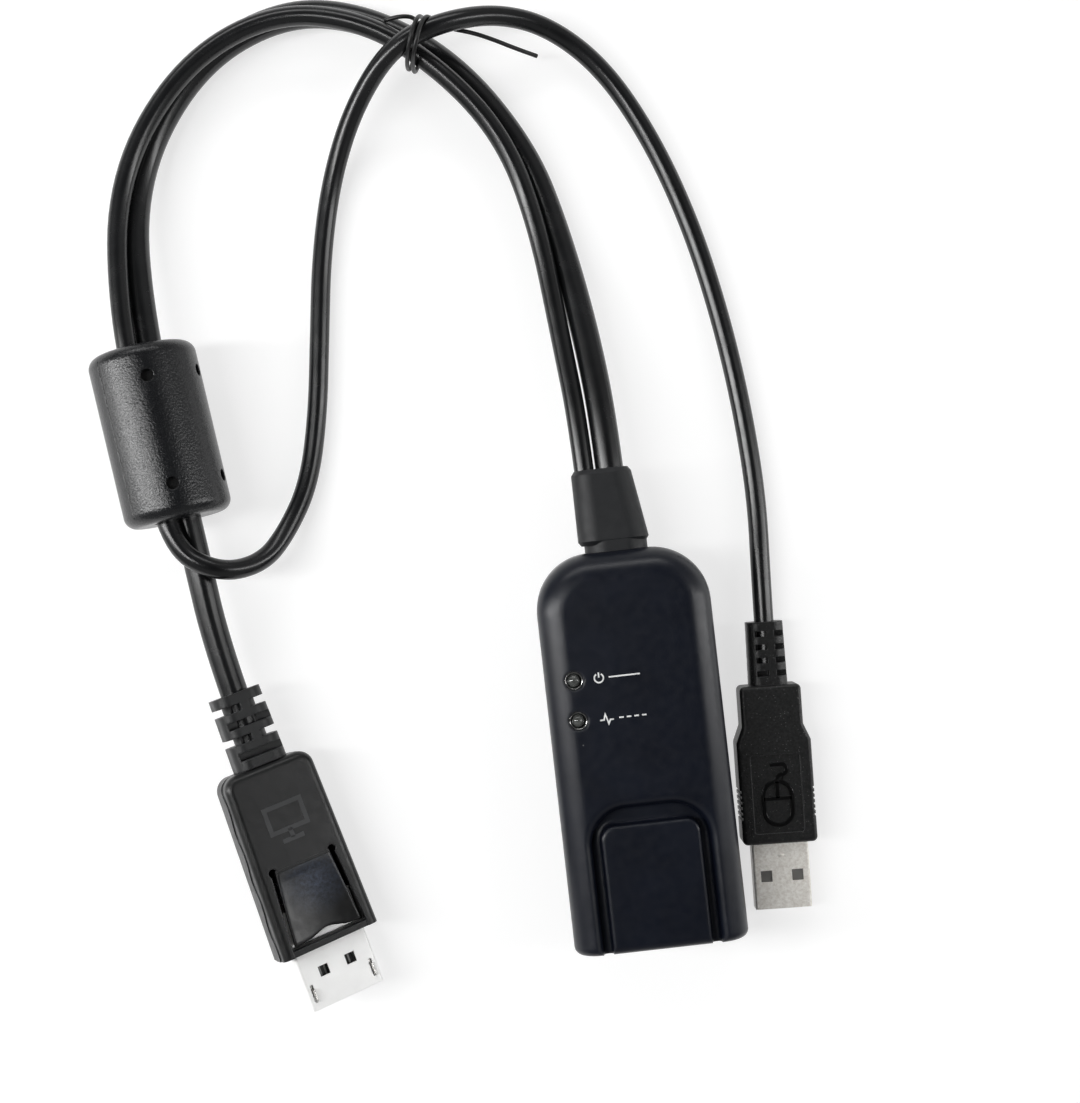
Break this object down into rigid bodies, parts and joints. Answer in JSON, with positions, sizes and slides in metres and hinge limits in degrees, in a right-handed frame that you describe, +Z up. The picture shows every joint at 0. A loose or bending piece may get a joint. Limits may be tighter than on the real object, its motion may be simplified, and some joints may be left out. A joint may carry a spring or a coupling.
{
  "type": "kvm dongle",
  "caption": "KVM interface adapter: small black housing with a network socket, a rubber boot and two cables to a video plug and a bus plug, with a ferrite choke.",
  "frame": {"origin": "centre of the housing's underside, measured with the cable boot and without the free cables", "axes": "+Z up from the underside, +Y along the housing from the network socket to the cable boot, +X to the right seen from above"},
  "size_m": [0.1416, 0.2128, 0.0224],
  "materials": {
    "housing": "satin moulded shell",
    "boot_rubber": "matte",
    "cable_jacket": "glossy extruded jacket",
    "choke_jacket": "gloss moulded",
    "ferrite": "sintered",
    "tie": "matte",
    "plug_plastic": "fine grain",
    "relief_rubber": "matte",
    "grip_plastic": "sparkle grain",
    "plated_shell": "nickel plated sheet",
    "contact_gold": "gold plated",
    "insulator": "moulded",
    "spring_steel": "bright",
    "lamp_lens": "clear lens",
    "lead_tin": "tinned",
    "board": "solder mask",
    "chip_plastic": "moulded",
    "header_plastic": "natural nylon"
  },
  "bodies": {
    "adapter": {"housing_top": "housing", "housing_base": "housing", "cable_boot": "boot_rubber", "video_cable": "cable_jacket", "bus_cable": "cable_jacket", "ferrite_jacket": "choke_jacket", "ferrite_core": "ferrite", "twist_tie": "tie", "video_plug_top": "plug_plastic", "video_plug_bottom": "plug_plastic", "video_plug_frame": "plug_plastic", "video_strain_relief": "relief_rubber", "bus_plug_body": "grip_plastic", "video_shell": "plated_shell", "bus_shell": "plated_shell", "jack_shield": "plated_shell", "video_contacts": "contact_gold", "bus_contacts": "contact_gold", "jack_contacts": "contact_gold", "video_insulator": "insulator", "bus_insulator": "insulator", "jack_body": "insulator", "housing_screws": "spring_steel", "crystal": "spring_steel", "power_lamp": "lamp_lens", "activity_lamp": "lamp_lens", "lamp_leads": "lead_tin", "capacitors": "lead_tin", "circuit_board": "board", "controller_chip": "chip_plastic", "video_chip": "chip_plastic", "line_transformer": "chip_plastic", "video_header": "header_plastic", "bus_header": "header_plastic"},
    "release_button": {"video_release_button": "plug_plastic"},
    "latch_spring": {"video_latch_spring": "spring_steel"}
  },
  "joints": [
    {"name": "release_press", "type": "hinge", "parent": "adapter", "child": "release_button", "pos_m": [-0.07238, -0.02453, 0.01289], "axis": [0.8864, 0.221, -0.4067], "range_deg": [0, 3.6], "stiffness_Nm_per_rad": 1, "springref_deg": -1.15},
    {"name": "latch_flex", "type": "hinge", "parent": "adapter", "child": "latch_spring", "pos_m": [-0.07303, -0.02752, 0.00986], "axis": [0.8864, 0.221, -0.4067], "range_deg": [0, 2.3]}
  ],
  "couplings": [
    {"joint": "latch_flex", "follows": "release_press", "ratio": 0.62}
  ]
}
